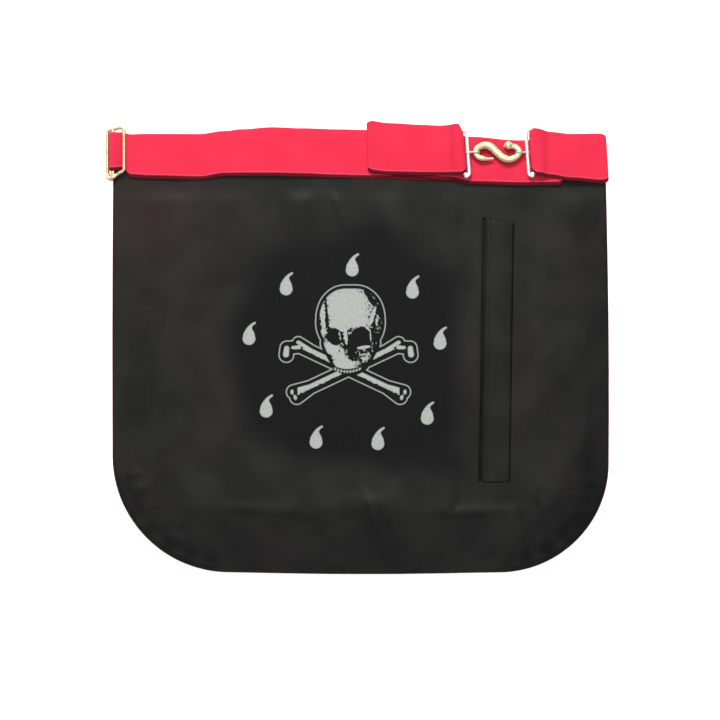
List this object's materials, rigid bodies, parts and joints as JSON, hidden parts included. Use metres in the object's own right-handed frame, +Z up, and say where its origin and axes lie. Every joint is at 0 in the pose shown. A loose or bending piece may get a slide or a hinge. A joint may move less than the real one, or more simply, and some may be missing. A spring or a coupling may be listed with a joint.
{
  "type": "masonic apron",
  "caption": "Black satin apron lying face down, its red webbing belt folded back over the top, with a snake clasp and a skull and crossbones print.",
  "frame": {"origin": "middle of the bounding box, on the surface that the apron lies on", "axes": "+X to the right across the width, +Y towards the belt, +Z up out of the black back"},
  "size_m": [0.413, 0.3714, 0.014],
  "materials": {
    "black_satin": "satin",
    "red_satin": "satin",
    "red_webbing": "ribbed weave",
    "print_ink": "matte transfer print",
    "gilt": "polished gilt",
    "nickel": "polished nickel"
  },
  "bodies": {
    "root": {"front_facing": "red_satin", "back_panel": "black_satin", "pocket_welt": "black_satin", "emblem_skull": "print_ink", "emblem_bones": "print_ink", "emblem_tear_1": "print_ink", "emblem_tear_2": "print_ink", "emblem_tear_3": "print_ink", "emblem_tear_4": "print_ink", "emblem_tear_5": "print_ink", "emblem_tear_6": "print_ink", "emblem_tear_7": "print_ink", "emblem_tear_8": "print_ink", "emblem_tear_9": "print_ink", "long_strap": "red_webbing", "short_strap": "red_webbing", "slider": "gilt", "snake_hook": "gilt", "clasp_loop_left": "nickel", "clasp_loop_right": "nickel"}
  },
  "joints": []
}
